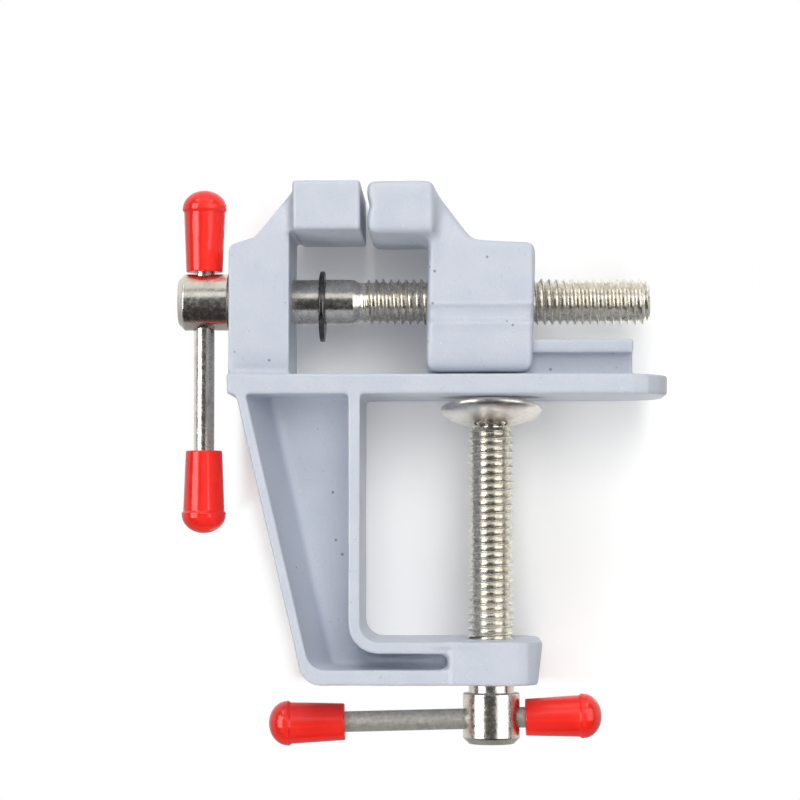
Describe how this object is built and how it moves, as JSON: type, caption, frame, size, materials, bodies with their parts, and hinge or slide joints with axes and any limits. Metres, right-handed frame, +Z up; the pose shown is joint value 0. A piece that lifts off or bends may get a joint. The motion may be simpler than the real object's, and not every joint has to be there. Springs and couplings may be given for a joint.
{
  "type": "mini table vise",
  "caption": "Small cast bench vise with a built-in C clamp for a table edge; a long screw drives its jaw, and capped sliding bars turn both screws.",
  "frame": {"origin": "on the clamp screw's axis, in the plane of the bed's underside, where the vise sits on the table top", "axes": "+Z up along the clamp screw, away from the table; +X along the jaw screw from the fixed jaw to the moving jaw's free end; -Y towards the front of the picture"},
  "size_m": [0.0807, 0.03, 0.0925],
  "materials": {
    "casting": "satin as-cast aluminium alloy with soft pits",
    "plated_steel": "bright nickel plating",
    "black_steel": "black oxide spring steel with a slight sheen",
    "red_cap": "glossy soft vinyl"
  },
  "bodies": {
    "frame": {"frame": "casting"},
    "moving_jaw": {"moving_jaw": "casting"},
    "jaw_screw": {"jaw_screw": "plated_steel", "thrust_washer": "plated_steel", "retaining_ring": "black_steel"},
    "jaw_bar": {"jaw_bar": "plated_steel", "jaw_bar_cap_top": "red_cap", "jaw_bar_cap_bottom": "red_cap"},
    "swivel": {"swivel_ball": "plated_steel"},
    "clamp_screw": {"clamp_screw": "plated_steel"},
    "clamp_pad": {"clamp_pad": "plated_steel"},
    "clamp_bar": {"clamp_bar": "plated_steel", "clamp_bar_cap_left": "red_cap", "clamp_bar_cap_right": "red_cap"}
  },
  "joints": [
    {"name": "jaw_screw_turn", "type": "hinge", "parent": "frame", "child": "jaw_screw", "pos_m": [-0.0435, 0, 0.0159], "axis": [-1, 0, 0], "range_deg": [-288, 7747]},
    {"name": "jaw_slide", "type": "slide", "parent": "frame", "child": "moving_jaw", "axis": [1, 0, 0], "range_m": [-0.00101, 0.02691]},
    {"name": "jaw_bar_slide", "type": "slide", "parent": "jaw_screw", "child": "jaw_bar", "axis": [0, 0, 1], "range_m": [-0.0002, 0.0199]},
    {"name": "clamp_slide", "type": "slide", "parent": "frame", "child": "swivel", "axis": [0, 0, -1], "range_m": [0, 0.0349]},
    {"name": "clamp_turn", "type": "hinge", "parent": "swivel", "child": "clamp_screw", "pos_m": [0, 0, -0.053], "axis": [0, 0, -1], "range_deg": [0, 10022]},
    {"name": "clamp_bar_slide", "type": "slide", "parent": "clamp_screw", "child": "clamp_bar", "axis": [0.9997, 0, 0.0262], "range_m": [-0.0007, 0.0193]},
    {"name": "pad_tilt", "type": "hinge", "parent": "swivel", "child": "clamp_pad", "pos_m": [0, 0, -0.00245], "axis": [1, 0, 0], "range_deg": [0, 20.6]}
  ],
  "couplings": [
    {"joint": "jaw_slide", "follows": "jaw_screw_turn", "m_per_rad": 0.00019894},
    {"joint": "clamp_slide", "follows": "clamp_turn", "m_per_rad": 0.00019894}
  ]
}
